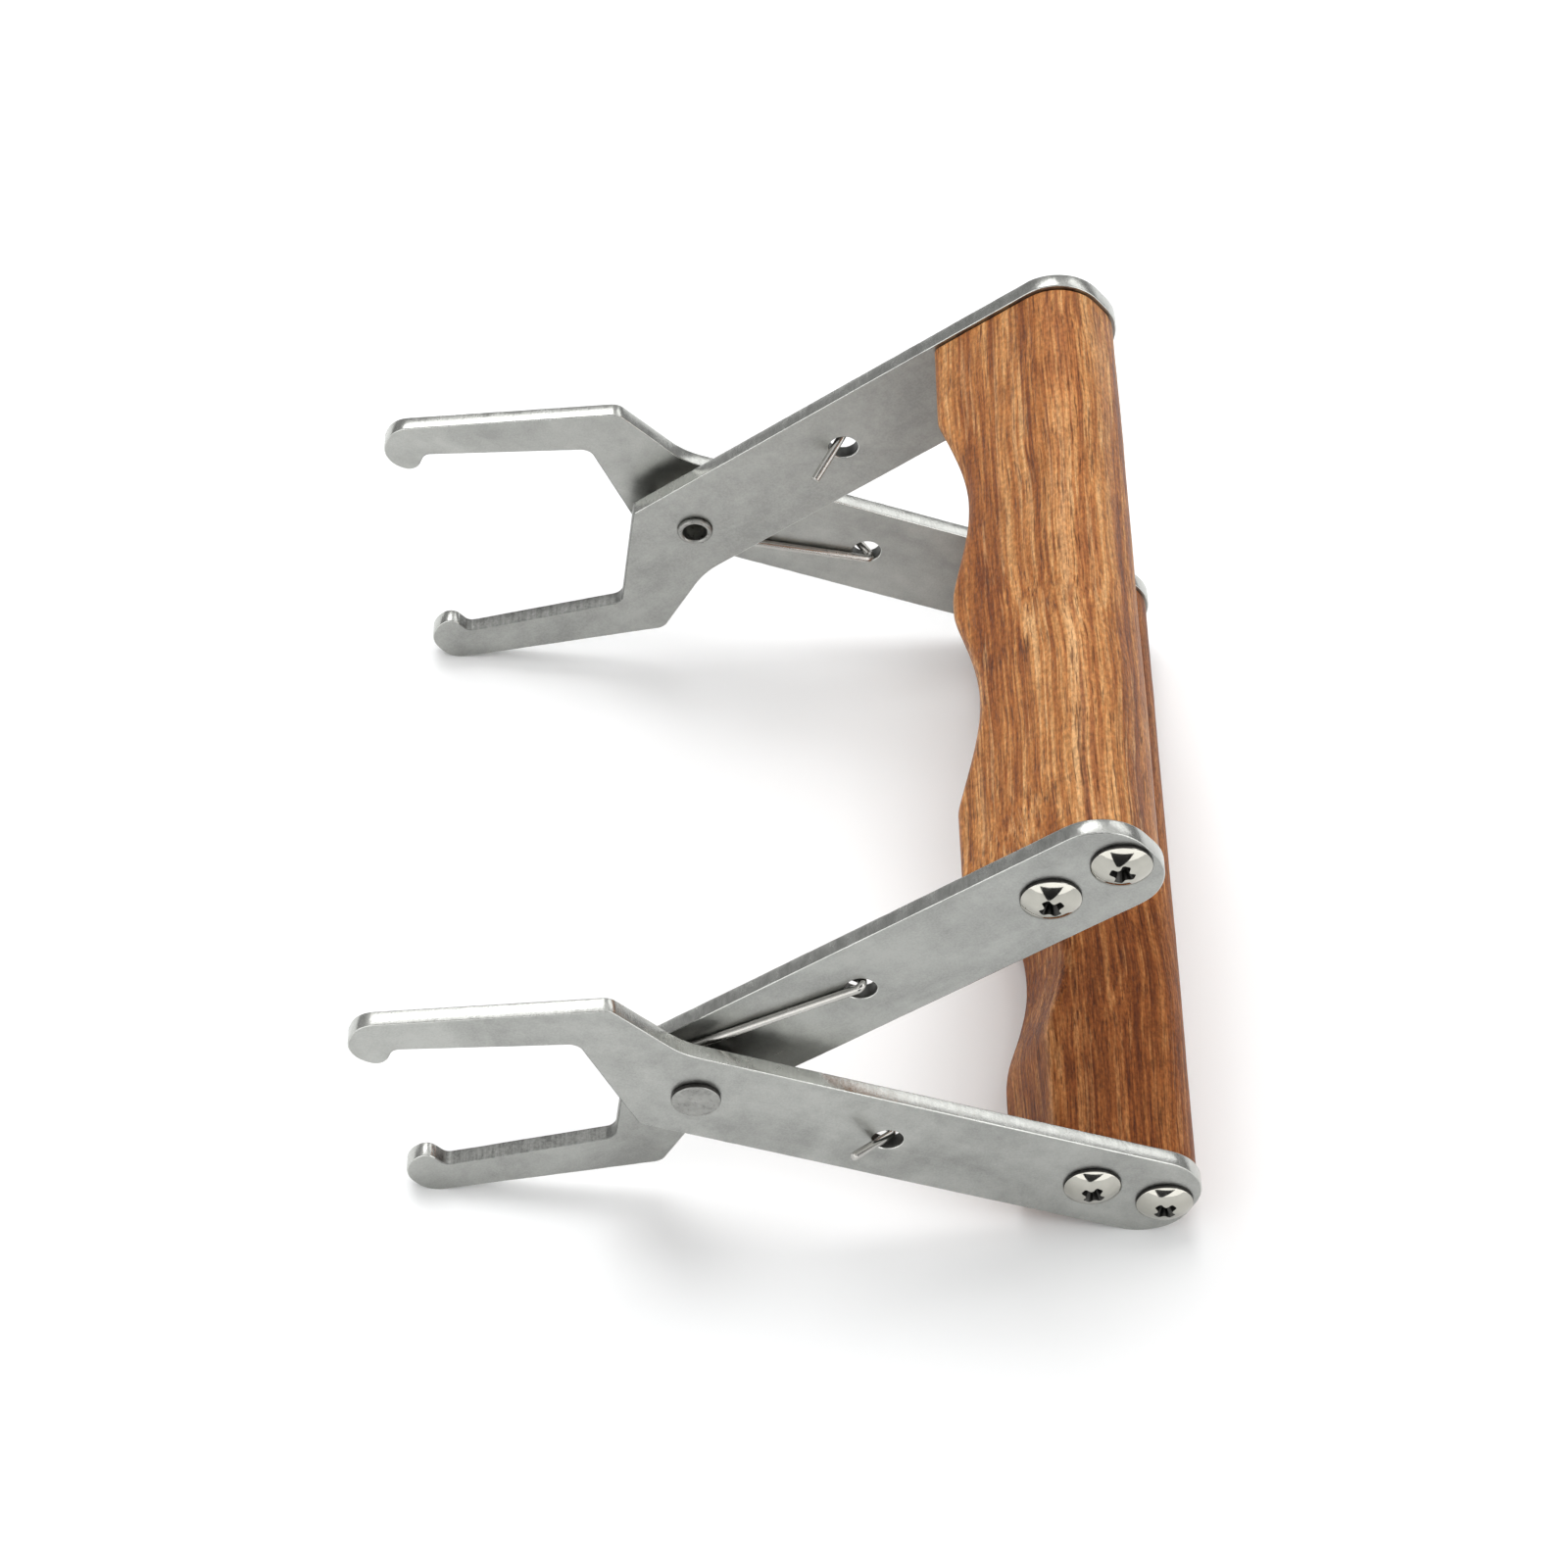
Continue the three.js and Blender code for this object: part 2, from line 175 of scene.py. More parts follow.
class Finish:
    """One procedural material, with short calls for the nodes that make it."""

    def __init__(self, name):
        self.material = bpy.data.materials.new(name)
        self.material.use_nodes = True
        self.tree = self.material.node_tree
        self.shader = self.tree.nodes["Principled BSDF"]

    def node(self, kind, inputs, output=0, **settings):
        node = self.tree.nodes.new(kind)
        for key, value in settings.items():
            setattr(node, key, value)
        for key, value in inputs.items():
            if isinstance(value, bpy.types.NodeSocket):
                self.tree.links.new(value, node.inputs[key])
            else:
                node.inputs[key].default_value = value
        return node.outputs[output]

    def place(self, offset=(0, 0, 0), turn=0.0):
        """The row frame turned so that x runs along an arm that leans by turn."""
        at = self.node("ShaderNodeTexCoord", {}, output="Object")
        return self.node("ShaderNodeMapping", {
            "Vector": at, "Location": offset, "Rotation": (0, turn, 0),
        })

    def noise(self, at, scale, detail=2.0, roughness=0.5, distortion=0.0, output="Fac"):
        """Noise that repeats about scale times per metre along each axis of at."""
        at = self.node("ShaderNodeMapping", {"Vector": at, "Scale": scale})
        return self.node("ShaderNodeTexNoise", {
            "Vector": at, "Scale": 1.0, "Detail": detail, "Roughness": roughness,
            "Distortion": distortion,
        }, output=output)

    def math(self, operation, a, b):
        return self.node("ShaderNodeMath", {0: a, 1: b}, operation=operation)

    def blend(self, weighted):
        """The weighted sum of several values."""
        total = None
        for value, weight in weighted:
            part = self.math("MULTIPLY", value, weight)
            total = part if total is None else self.math("ADD", total, part)
        return total

    def fit(self, value, low, high, to_low, to_high):
        return self.node("ShaderNodeMapRange", {
            "Value": value, "From Min": low, "From Max": high, "To Min": to_low,
            "To Max": to_high,
        })

    def ramp(self, value, stops):
        node = self.tree.nodes.new("ShaderNodeValToRGB")
        self.tree.links.new(value, node.inputs["Fac"])
        elements = node.color_ramp.elements
        while len(elements) < len(stops):
            elements.new(0.5)
        for element, (position, colour) in zip(elements, stops):
            element.position = position
            element.color = (*colour, 1.0)
        return node.outputs["Color"]

    def mix(self, factor, a, b, blend_type="MIX"):
        colours = [(*c, 1.0) if isinstance(c, tuple) else c for c in (a, b)]
        return self.node("ShaderNodeMix", {0: factor, 6: colours[0], 7: colours[1]}, output=2,
                         data_type="RGBA", blend_type=blend_type)

    def set(self, **inputs):
        names = {"colour": "Base Color", "roughness": "Roughness", "metallic": "Metallic",
                 "normal": "Normal", "specular": "Specular IOR Level"}
        for key, value in inputs.items():
            socket = self.shader.inputs[names[key]]
            if isinstance(value, bpy.types.NodeSocket):
                self.tree.links.new(value, socket)
            else:
                socket.default_value = value
        return self.material

    def bump(self, height, strength, distance):
        return self.node("ShaderNodeBump", {
            "Height": height, "Strength": strength, "Distance": distance,
        }, output="Normal")


def shade(colour, factor):
    return tuple(c * factor for c in colour)


def wood_finish(name, offset, turn, tones, gloss):
    """Straight-grained open-pored hardwood. The grain runs along y, the length of the handle."""
    f = Finish(name)
    at = f.place(offset, turn)
    drift = f.noise(at, (26, 17, 26), detail=2.0, output="Color")
    drift = f.node("ShaderNodeVectorMath", {0: drift, 1: (0.5, 0.5, 0.5)}, operation="SUBTRACT")
    drift = f.node("ShaderNodeVectorMath", {0: drift, "Scale": 0.007}, operation="SCALE")
    at = f.node("ShaderNodeVectorMath", {0: at, 1: drift}, operation="ADD")
    bands = f.noise(at, (190, 6, 190), detail=2.0, distortion=0.8)
    streaks = f.noise(at, (1050, 14, 1050), detail=3.0, roughness=0.62)
    fibres = f.noise(at, (2300, 90, 2300), detail=3.0, roughness=0.65)
    flecks = f.noise(at, (1900, 1000, 1900), detail=2.0, roughness=0.6)
    figure = f.noise(at, (80, 110, 80), detail=2.0)
    pores = f.fit(f.noise(at, (3000, 150, 3000), detail=1.0), 0.60, 0.70, 0.0, 1.0)
    dark_lines = f.fit(f.noise(at, (520, 6, 520), detail=3.0, roughness=0.7), 0.56, 0.65, 0.0, 1.0)
    pale_lines = f.fit(f.noise(at, (600, 9, 600), detail=3.0, roughness=0.7), 0.43, 0.34, 0.0, 1.0)
    tone = f.blend([(bands, 0.34), (streaks, 0.42), (fibres, 0.20), (figure, 0.04)])
    colour = f.ramp(tone, tones)
    colour = f.mix(f.math("MULTIPLY", dark_lines, 0.7), colour, tones[0][1])
    colour = f.mix(f.math("MULTIPLY", pale_lines, 0.55), colour, tones[-1][1])
    colour = f.mix(f.math("MULTIPLY", pores, 0.7), colour, shade(tones[0][1], 0.6))
    mottle = f.fit(f.blend([(flecks, 0.82), (figure, 0.18)]), 0.35, 0.65, 0.70, 1.30)
    mottle = f.node("ShaderNodeCombineColor", {0: mottle, 1: mottle, 2: mottle})
    colour = f.mix(1.0, colour, mottle, "MULTIPLY")
    height = f.blend([(fibres, 0.6), (streaks, 0.4), (flecks, 0.5), (pores, -0.9)])
    return f.set(
        colour=colour,
        roughness=f.fit(streaks, 0.3, 0.7, 0.40, 0.56),
        specular=gloss,
        normal=f.bump(height, 0.6, 0.00025),
    )


def steel_finish(name, turn, colour, roughness, contrast=0.18, rub=0.5):
    """Tumbled sheet: cloudy, finely pitted, with stray rub marks along the arm."""
    f = Finish(name)
    at = f.place(turn=turn)
    clouds = f.noise(at, (55, 55, 90), detail=4.0, roughness=0.55, distortion=0.6)
    patches = f.noise(at, (300, 300, 300), detail=4.0, roughness=0.6)
    pits = f.noise(at, (2600, 2600, 2600), detail=2.0)
    rubs = f.fit(f.noise(at, (55, 60, 2100), detail=2.0, roughness=0.65), 0.56, 0.72, 0.0, 1.0)
    tone = f.blend([(clouds, 0.50), (patches, 0.28), (pits, 0.22)])
    paint = f.ramp(tone, [(0.39, shade(colour, 1 - contrast)), (0.5, colour),
                          (0.61, shade(colour, 1 + contrast))])
    paint = f.mix(f.math("MULTIPLY", rubs, 0.16 * rub), paint, shade(colour, 1.45))
    rough = f.fit(f.blend([(clouds, 0.5), (patches, 0.5)]), 0.35, 0.65,
                  roughness - 0.08, roughness + 0.08)
    height = f.blend([(pits, 0.5), (patches, 0.4), (rubs, -0.15 * rub)])
    return f.set(
        colour=paint,
        roughness=f.math("SUBTRACT", rough, f.math("MULTIPLY", rubs, 0.05 * rub)),
        metallic=1.0,
        normal=f.bump(height, 0.3, 0.00008),
    )


def cut_edge_finish(name, turn, colour, roughness, depth):
    """The sheared edge of a plate: fine lines across its thickness, over a mottled ground."""
    f = Finish(name)
    at = f.place(turn=turn)
    shear = f.noise(at, (1700, 110, 1700), detail=3.0, roughness=0.65)
    waves = f.noise(at, (420, 300, 420), detail=3.0)
    pits = f.noise(at, (1900, 1900, 1900), detail=3.0, roughness=0.6)
    tone = f.blend([(shear, 0.35), (waves, 0.3), (pits, 0.35)])
    paint = f.ramp(tone, [(0.36, shade(colour, 1 - depth)), (0.5, colour),
                          (0.64, shade(colour, 1 + depth))])
    return f.set(
        colour=paint,
        roughness=f.fit(waves, 0.35, 0.65, roughness - 0.05, roughness + 0.07),
        metallic=1.0,
        normal=f.bump(f.blend([(shear, 0.35), (pits, 0.65)]), depth * 1.6, 0.00012),
    )


def plated_finish(name, colour, roughness):
    """Bright nickel: almost mirror, with a faint haze and hairline marks."""
    f = Finish(name)
    at = f.place()
    haze = f.noise(at, (420, 420, 420), detail=3.0)
    hairs = f.fit(f.noise(at, (260, 260, 5200), detail=2.0), 0.6, 0.75, 0.0, 1.0)
    paint = f.ramp(haze, [(0.3, shade(colour, 0.93)), (0.7, shade(colour, 1.04))])
    return f.set(
        colour=paint,
        roughness=f.fit(f.blend([(haze, 0.8), (hairs, 0.2)]), 0.3, 0.7, roughness - 0.03,
                        roughness + 0.05),
        metallic=1.0,
        normal=f.bump(haze, 0.05, 0.00004),
    )


def forged_finish(name, colour, roughness):
    """Headed and rolled rivet steel: soft facets and small forming marks."""
    f = Finish(name)
    at = f.place()
    facets = f.noise(at, (330, 330, 330), detail=1.0)
    grain = f.noise(at, (1300, 1300, 1300), detail=3.0)
    paint = f.ramp(f.blend([(facets, 0.5), (grain, 0.5)]),
                   [(0.34, shade(colour, 0.74)), (0.5, colour), (0.66, shade(colour, 1.2))])
    return f.set(
        colour=paint,
        roughness=f.fit(grain, 0.3, 0.7, roughness - 0.06, roughness + 0.1),
        metallic=1.0,
        normal=f.bump(f.blend([(facets, 0.75), (grain, 0.25)]), 0.45, 0.00025),
    )


UPPER_TONES = [(0.40, (0.165, 0.046, 0.012)), (0.46, (0.290, 0.095, 0.023)),
               (0.51, (0.395, 0.152, 0.042)), (0.56, (0.510, 0.235, 0.079)),
               (0.62, (0.640, 0.360, 0.160))]
# The lower handle's tones are the upper's wood painted darker, as painted shade beneath the upper
# handle.
LOWER_SHADED_TONES = [(0.40, (0.120, 0.032, 0.009)), (0.46, (0.200, 0.058, 0.015)),
               (0.51, (0.285, 0.093, 0.025)), (0.56, (0.390, 0.152, 0.047)),
               (0.62, (0.530, 0.245, 0.092))]
upper_wood = wood_finish("wood_upper", (0.013, 0.031, 0.0), upper_angle, UPPER_TONES, 0.32)
lower_wood = wood_finish("wood_lower_painted_shade", (0.211, 0.127, 0.4), lower_angle, LOWER_SHADED_TONES, 0.12)
STEEL = (0.42, 0.425, 0.405)
# Each arm's direction, and how bright its plates' faces are beside STEEL: the upper arm's inner
# plates are painted darker, as painted shade
PLATE_FACES = {"lower_arm": (lower_angle, 0.90), "upper_arm": (upper_angle, 0.83)}
CUT_BRIGHTNESS = 1.25
THROAT_BRIGHTNESS = 0.55
# The holes' walls are painted dark, as painted shade inside the holes.
BORE_PAINTED_SHADE = 0.22
plate_steels = {}
for arm_name, (angle, brightness) in PLATE_FACES.items():
    cut = shade(STEEL, CUT_BRIGHTNESS)
    throat_tone = shade(STEEL, THROAT_BRIGHTNESS)
    bore = shade(STEEL, BORE_PAINTED_SHADE)
    plate_steels[arm_name] = [
        steel_finish(f"steel_face_{arm_name}", angle, shade(STEEL, brightness), 0.36),
        cut_edge_finish(f"steel_edge_{arm_name}", angle, cut, 0.22, 0.14),
        cut_edge_finish(f"steel_throat_edge_{arm_name}", angle, throat_tone, 0.42, 0.45),
        steel_finish(f"steel_bore_painted_shade_{arm_name}", angle, bore, 0.5),
    ]
wire_steel = steel_finish("steel_wire", 0.0, (0.47, 0.46, 0.435), 0.24, contrast=0.1, rub=0.8)
screw_steel = plated_finish("nickel_screw", (0.455, 0.445, 0.40), 0.09)
# Near-black: painted shade for the depth of the recesses, and painted shadow and dark reflection for
# the dark line round screw and rivet heads
recess_shade_paint = steel_finish("steel_recess_painted_shade", 0.0, (0.05, 0.049, 0.046), 0.35)
rim_shadow_paint = steel_finish("steel_rim_painted_shadow", 0.0, (0.055, 0.053, 0.05), 0.4)
rivet_steel = forged_finish("steel_rivet", (0.30, 0.30, 0.285), 0.3)


# Mesh helpers

def add_mesh(name, points, faces, materials, face_materials=None, sharp_angle=40.0):
    """An object from points in millimetres, smooth apart from its sharp edges."""
    mesh = bpy.data.meshes.new(name)
    mesh.from_pydata([tuple(c * MM for c in p) for p in points], [], faces)
    for material in materials:
        mesh.materials.append(material)
    if face_materials:
        mesh.polygons.foreach_set("material_index", face_materials)
    mesh.shade_smooth()
    mesh.set_sharp_from_angle(angle=math.radians(sharp_angle))
    mesh.validate()
    thing = bpy.data.objects.new(name, mesh)
    bpy.context.collection.objects.link(thing)
    return thing


def bridge(rings):
    """Quads between closed rings of equal length, given as lists of point numbers."""
    faces = []
    count = len(rings[0])
    for low, high in zip(rings, rings[1:]):
        for i in range(count):
            j = (i + 1) % count
            faces.append((low[i], low[j], high[j], high[i]))
    return faces


def rounded_outline(corners, arc_steps=None, line_step=None):
    """A closed outline with arcs at its corners, anticlockwise, as (point, outward normal, run).
    Run i is the arc at corner i and the straight after it. Arcs have arc_steps each, or one
    per 4 degrees, and straights are cut every line_step."""
    arcs = []
    for i, (u, v, radius) in enumerate(corners):
        corner = Vector((u, v))
        before = (Vector(corners[i - 1][:2]) - corner).normalized()
        after = (Vector(corners[(i + 1) % len(corners)][:2]) - corner).normalized()
        half = math.acos(max(-1.0, min(1.0, before.dot(after)))) / 2
        centre = corner + (before + after).normalized() * (radius / math.sin(half))
        start = corner + before * (radius / math.tan(half)) - centre
        end = corner + after * (radius / math.tan(half)) - centre
        sweep = math.atan2(start.x * end.y - start.y * end.x, start.dot(end))
        steps = arc_steps or max(4, round(abs(math.degrees(sweep)) / 4))
        sign = math.copysign(1.0, sweep)
        arc = []
        for k in range(steps + 1):
            turn = Matrix.Rotation(sweep * k / steps, 2)
            spoke = turn @ start
            arc.append((centre + spoke, spoke.normalized() * sign, i))
        arcs.append(arc)
    outline = []
    for i, arc in enumerate(arcs):
        outline += arc
        if line_step:
            a, normal, _ = arc[-1]
            b = arcs[(i + 1) % len(arcs)][0][0]
            pieces = int((b - a).length // line_step)
            outline += [(a.lerp(b, k / pieces), normal, i) for k in range(1, pieces)]
    return outline


def hole_outline(u, radius, steps):
    """The edge of a round hole at (u, 0), clockwise, with normals to its centre, as run -1."""
    outline = []
    for k in range(steps):
        angle = -2 * math.pi * k / steps
        spoke = Vector((math.cos(angle), math.sin(angle)))
        outline.append((Vector((u, 0)) + spoke * radius, -spoke, -1))
    return outline


def lathe(profile, steps):
    """Points and faces of a profile of (radius, w) turned about w, upwards on its outside."""
    points, rings = [], []
    for radius, w in profile:
        if radius == 0:
            rings.append([len(points)] * steps)
            points.append((0.0, 0.0, w))
            continue
        rings.append(list(range(len(points), len(points) + steps)))
        for k in range(steps):
            angle = 2 * math.pi * k / steps
            points.append((radius * math.cos(angle), radius * math.sin(angle), w))
    faces = []
    for face in bridge(rings):
        kept = tuple(dict.fromkeys(face))
        if len(kept) > 2:
            faces.append(kept)
    return points, faces


def fillet(radius_at, w_at, size, start, end, steps=4):
    """A quarter-round for a lathe profile, about (radius_at, w_at), from one angle to another."""
    arc = []
    for k in range(steps + 1):
        angle = math.radians(start + (end - start) * k / steps)
        arc.append((radius_at + size * math.cos(angle), w_at + size * math.sin(angle)))
    return arc


# Placing pieces

def settle(piece, matrix, body, node):
    """Puts a piece in place through its mesh, so that its object stays at the origin."""
    piece.data.transform(matrix)
    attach(piece, body)
    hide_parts(node)


def standing_at(arm, u, w, out, turn=0.0):
    """A frame with its third axis along the pivot axis, out being 1 or -1, at (u, 0, w)."""
    flip = Matrix.Identity(4) if out > 0 else Matrix.Rotation(math.pi, 4, "X")
    spin = Matrix.Rotation(turn, 4, "Z")
    return arm @ Matrix.Translation(Vector((u, 0, w)) * MM) @ flip @ spin


# Plates. The edges inside the throat and hook are darker, rougher and more mottled than the others.
FACE, CUT_EDGE, THROAT_EDGE, BORE = range(4)
THROAT_RUNS = (1, 2, 3)


def rounding_rows():
    """Rows of a plate's edge, as (share of the rounding taken off, share of it in w, from top)."""
    quarter = [math.radians(a) for a in (0, 30, 60, 90)]
    low = [(1 - math.sin(a), 1 - math.cos(a), False) for a in quarter]
    return low + [(inset, rise, True) for inset, rise, _ in reversed(low)]


def unevenness(place, rate, seed):
    return noise.noise(Vector((place.x * rate, place.y * rate, seed)))


def plate_mesh(name, w_low, seed, materials):
    """A plate whose edges, at its outline and round its holes, are rounded and a little worn."""
    edge_loops = [rounded_outline(PLATE_CORNERS, line_step=2.0)]
    edge_loops.append(hole_outline(0, PIVOT_HOLE_RADIUS, 64))
    edge_loops.append(hole_outline(*SPRING_HOLE, 56))
    for u in SCREW_US:
        edge_loops.append(hole_outline(u, SCREW_HOLE_RADIUS, 32))
    points, faces, kinds = [], [], []
    first_loops, last_loops = [], []
    for loop in edge_loops:
        rings = []
        for inset, rise, from_top in rounding_rows():
            ring = []
            for place, normal, _ in loop:
                wear = unevenness(place, EDGE_WEAR[0], seed + 9.0 * from_top)
                nick = unevenness(place, EDGE_NICKS[0], seed + 4.0 * from_top)
                size = EDGE_ROUNDING * (1 + EDGE_WEAR[1] * wear + EDGE_NICKS[1] * max(0.0, nick))
                flat = place - normal * (inset * size)
                w = w_low + (PLATE_THICKNESS - rise * size if from_top else rise * size)
                ring.append(len(points))
                points.append((flat.x, flat.y, w))
            rings.append(ring)
        faces += bridge(rings)
        walls = [BORE if run < 0 else THROAT_EDGE if run in THROAT_RUNS else CUT_EDGE
                 for _, _, run in loop]
        for low, high in zip(rounding_rows(), rounding_rows()[1:]):
            is_wall = low[2] != high[2]
            kinds += [kind if is_wall or kind == THROAT_EDGE else CUT_EDGE for kind in walls]
        first_loops.append(rings[0])
        last_loops.append(rings[-1])
    for loops, upward in ((first_loops, False), (last_loops, True)):
        outlines = [[Vector((*points[i][:2], 0)) for i in loop] for loop in loops]
        numbers = [i for loop in loops for i in loop]
        for triangle in tessellate_polygon(outlines):
            a, b, c = (numbers[i] for i in triangle)
            (au, av, _), (bu, bv, _), (cu, cv, _) = points[a], points[b], points[c]
            turned = (bu - au) * (cv - av) - (bv - av) * (cu - au)
            if abs(turned) < 1e-9:
                continue
            faces.append((a, b, c) if (turned > 0) == upward else (a, c, b))
            kinds.append(FACE)
    plate = add_mesh(name, points, faces, materials, kinds)
    mark_cap_edges_sharp(plate.data)
    return plate


def mark_cap_edges_sharp(mesh):
    """The flat faces keep flat shading: their edge with the rounding is sharp."""
    kinds_at_edge = {}
    for polygon in mesh.polygons:
        for key in polygon.edge_keys:
            kinds_at_edge.setdefault(key, set()).add(polygon.material_index == FACE)
    sharp = mesh.attributes.get("sharp_edge") or mesh.attributes.new("sharp_edge", "BOOLEAN", "EDGE")
    for edge in mesh.edges:
        if len(kinds_at_edge[edge.key]) > 1:
            sharp.data[edge.index].value = True


PLATES = [
    ("outer_plate", "lower_arm", lower_frame, -1, OUTER_GAP_FACE),
    ("inner_plate", "upper_arm", upper_frame, 1, INNER_FACE),
]
for kind, body, arm, outer_sign, face_w in PLATES:
    for side, y_sign in SIDES.items():
        w_sign = -outer_sign * y_sign
        node = f"{kind}_{side}"
        w_low = face_w if w_sign > 0 else -face_w - PLATE_THICKNESS
        plate = plate_mesh(f"{node}_fine", w_low, face_w + 3.0 * y_sign, plate_steels[body])
        settle(plate, arm, body, node)


# Handles

def groove_depth(w, reach):
    """Two finger grooves, each reach long, that meet at the crest at w = 0."""
    along = min(abs(w) / reach, 1.0)
    groove = GROOVE_DEPTH * math.sin(math.pi * along)
    return math.hypot(groove, CREST_DROP * (1 - along) ** 3)


def sanded_depth(w, reach, easing):
    """The groove with its corners eased, as the mean of its depth at places up to easing away."""
    steps = [easing * k / 3 for k in range(-3, 4)]
    return sum(groove_depth(w + step, reach) for step in steps) / len(steps)


def handle_section(front_u, front_radius):
    """Points and normals of one cross-section, always the same number in the same order."""
    loop = []
    high, back = HANDLE_HALF_HEIGHT, HANDLE_BACK_U
    rb, rf = HANDLE_BACK_RADIUS, front_radius
    corners = [
        (back - rb, high - rb, rb, 0, 18), (front_u + rf, high - rf, rf, 90, 10),
        (front_u + rf, rf - high, rf, 180, 10), (back - rb, rb - high, rb, 270, 18),
    ]
    flats = (16, 9, 16, 3)
    arcs = []
    for cu, cv, radius, start, steps in corners:
        arc = []
        for k in range(steps + 1):
            angle = math.radians(start + 90 * k / steps)
            spoke = Vector((math.cos(angle), math.sin(angle)))
            arc.append((Vector((cu, cv)) + spoke * radius, spoke))
        arcs.append(arc)
    for i, arc in enumerate(arcs):
        loop += arc
        a, normal = arc[-1]
        b = arcs[(i + 1) % 4][0][0]
        loop += [(a.lerp(b, k / flats[i]), normal) for k in range(1, flats[i])]
    return loop


def handle_rows(half_length, reach, crest_w):
    """Rows along the handle, as (w, how far the section is drawn in at the rounded ends)."""
    def span(start, end, steps):
        return [start + (end - start) * k / steps for k in range(steps)]

    size = HANDLE_END_ROUNDING
    ends = [math.radians(a) for a in (0, 30, 60)]
    rows = [(-half_length + size * (1 - math.cos(a)), size * (1 - math.sin(a))) for a in ends]
    inner = half_length - size
    breaks = [-inner, crest_w - reach, crest_w, crest_w + reach, inner]
    ws = []
    for start, end in zip(breaks, breaks[1:]):
        ws += span(start, end, round((end - start) * ROWS_PER_MM))
    ws.append(inner)
    return rows + [(w, 0.0) for w in ws] + [(-w, inset) for w, inset in reversed(rows)]


def handle_mesh(name, half_length, reach, crest_w, easing, material, seed):
    """A handle, with its grooves either side of crest_w and its faces slightly wavy."""
    long_wave, long_height = LONG_WAVES
    short_wave, short_height = SHORT_WAVES
    points, rings = [], []
    for w, inset in handle_rows(half_length, reach, crest_w):
        depth = sanded_depth(w - crest_w, reach, easing)
        opened = min(depth / GROOVE_DEPTH, 1.0) ** 2
        front_radius = END_CORNER_RADIUS + (GROOVE_CORNER_RADIUS - END_CORNER_RADIUS) * opened
        ring = []
        for place, normal in handle_section(HANDLE_FRONT_U + depth, front_radius):
            at = Vector((place.x, place.y, w))
            wave = noise.noise(at / long_wave + Vector((seed, 0, 0))) * long_height
            wave += noise.noise(at / short_wave + Vector((0, seed, 0))) * short_height
            flat = place - normal * (inset + SURFACE_INSET - wave)
            ring.append(len(points))
            points.append((flat.x, flat.y, w))
        rings.append(ring)
    faces = bridge(rings)
    for ring, turned in ((rings[0], True), (rings[-1], False)):
        middle = len(points)
        points.append((HANDLE_BACK_U - 14, 0.0, points[ring[0]][2]))
        for i, a in enumerate(ring):
            b = ring[(i + 1) % len(ring)]
            faces.append((b, a, middle) if turned else (a, b, middle))
    return add_mesh(name, points, faces, [material], sharp_angle=62)


upper_handle = handle_mesh("upper_handle_fine", INNER_FACE - CLEARANCE, UPPER_GROOVE_REACH,
                           UPPER_CREST_W, UPPER_CORNER_EASING, upper_wood, 3.1)
settle(upper_handle, upper_frame, "upper_arm", "upper_handle")
lower_handle = handle_mesh("lower_handle_fine", OUTER_GAP_FACE - CLEARANCE, LOWER_GROOVE_REACH,
                           LOWER_CREST_W, LOWER_CORNER_EASING, lower_wood, 7.7)
settle(lower_handle, lower_frame, "lower_arm", "lower_handle")


# Screws

def rim_index(points, face, radius, low_w, high_w):
    """Material 1, the near-black painted shadow and dark reflection, for the side of a head, whose
    faces have their middles between two heights.
    """
    middle = sum((Vector(points[i]) for i in face), Vector()) / len(face)
    is_rim = low_w < middle.z < high_w and middle.xy.length > radius - RIM_BAND
    return 1 if is_rim else 0


def cross_outline(half_span, half_width, inner_radius, end_radius):
    """The outline of a cross recess at one depth."""
    corners = []
    for quarter in range(4):
        turn = Matrix.Rotation(math.pi / 2 * quarter, 2)
        for u, v, radius in ((half_span, -half_width, end_radius),
                             (half_span, half_width, end_radius),
                             (half_width, half_width, inner_radius)):
            place = turn @ Vector((u, v))
            corners.append((place.x, place.y, radius))
    return [place for place, _, _ in rounded_outline(corners, arc_steps=4)]


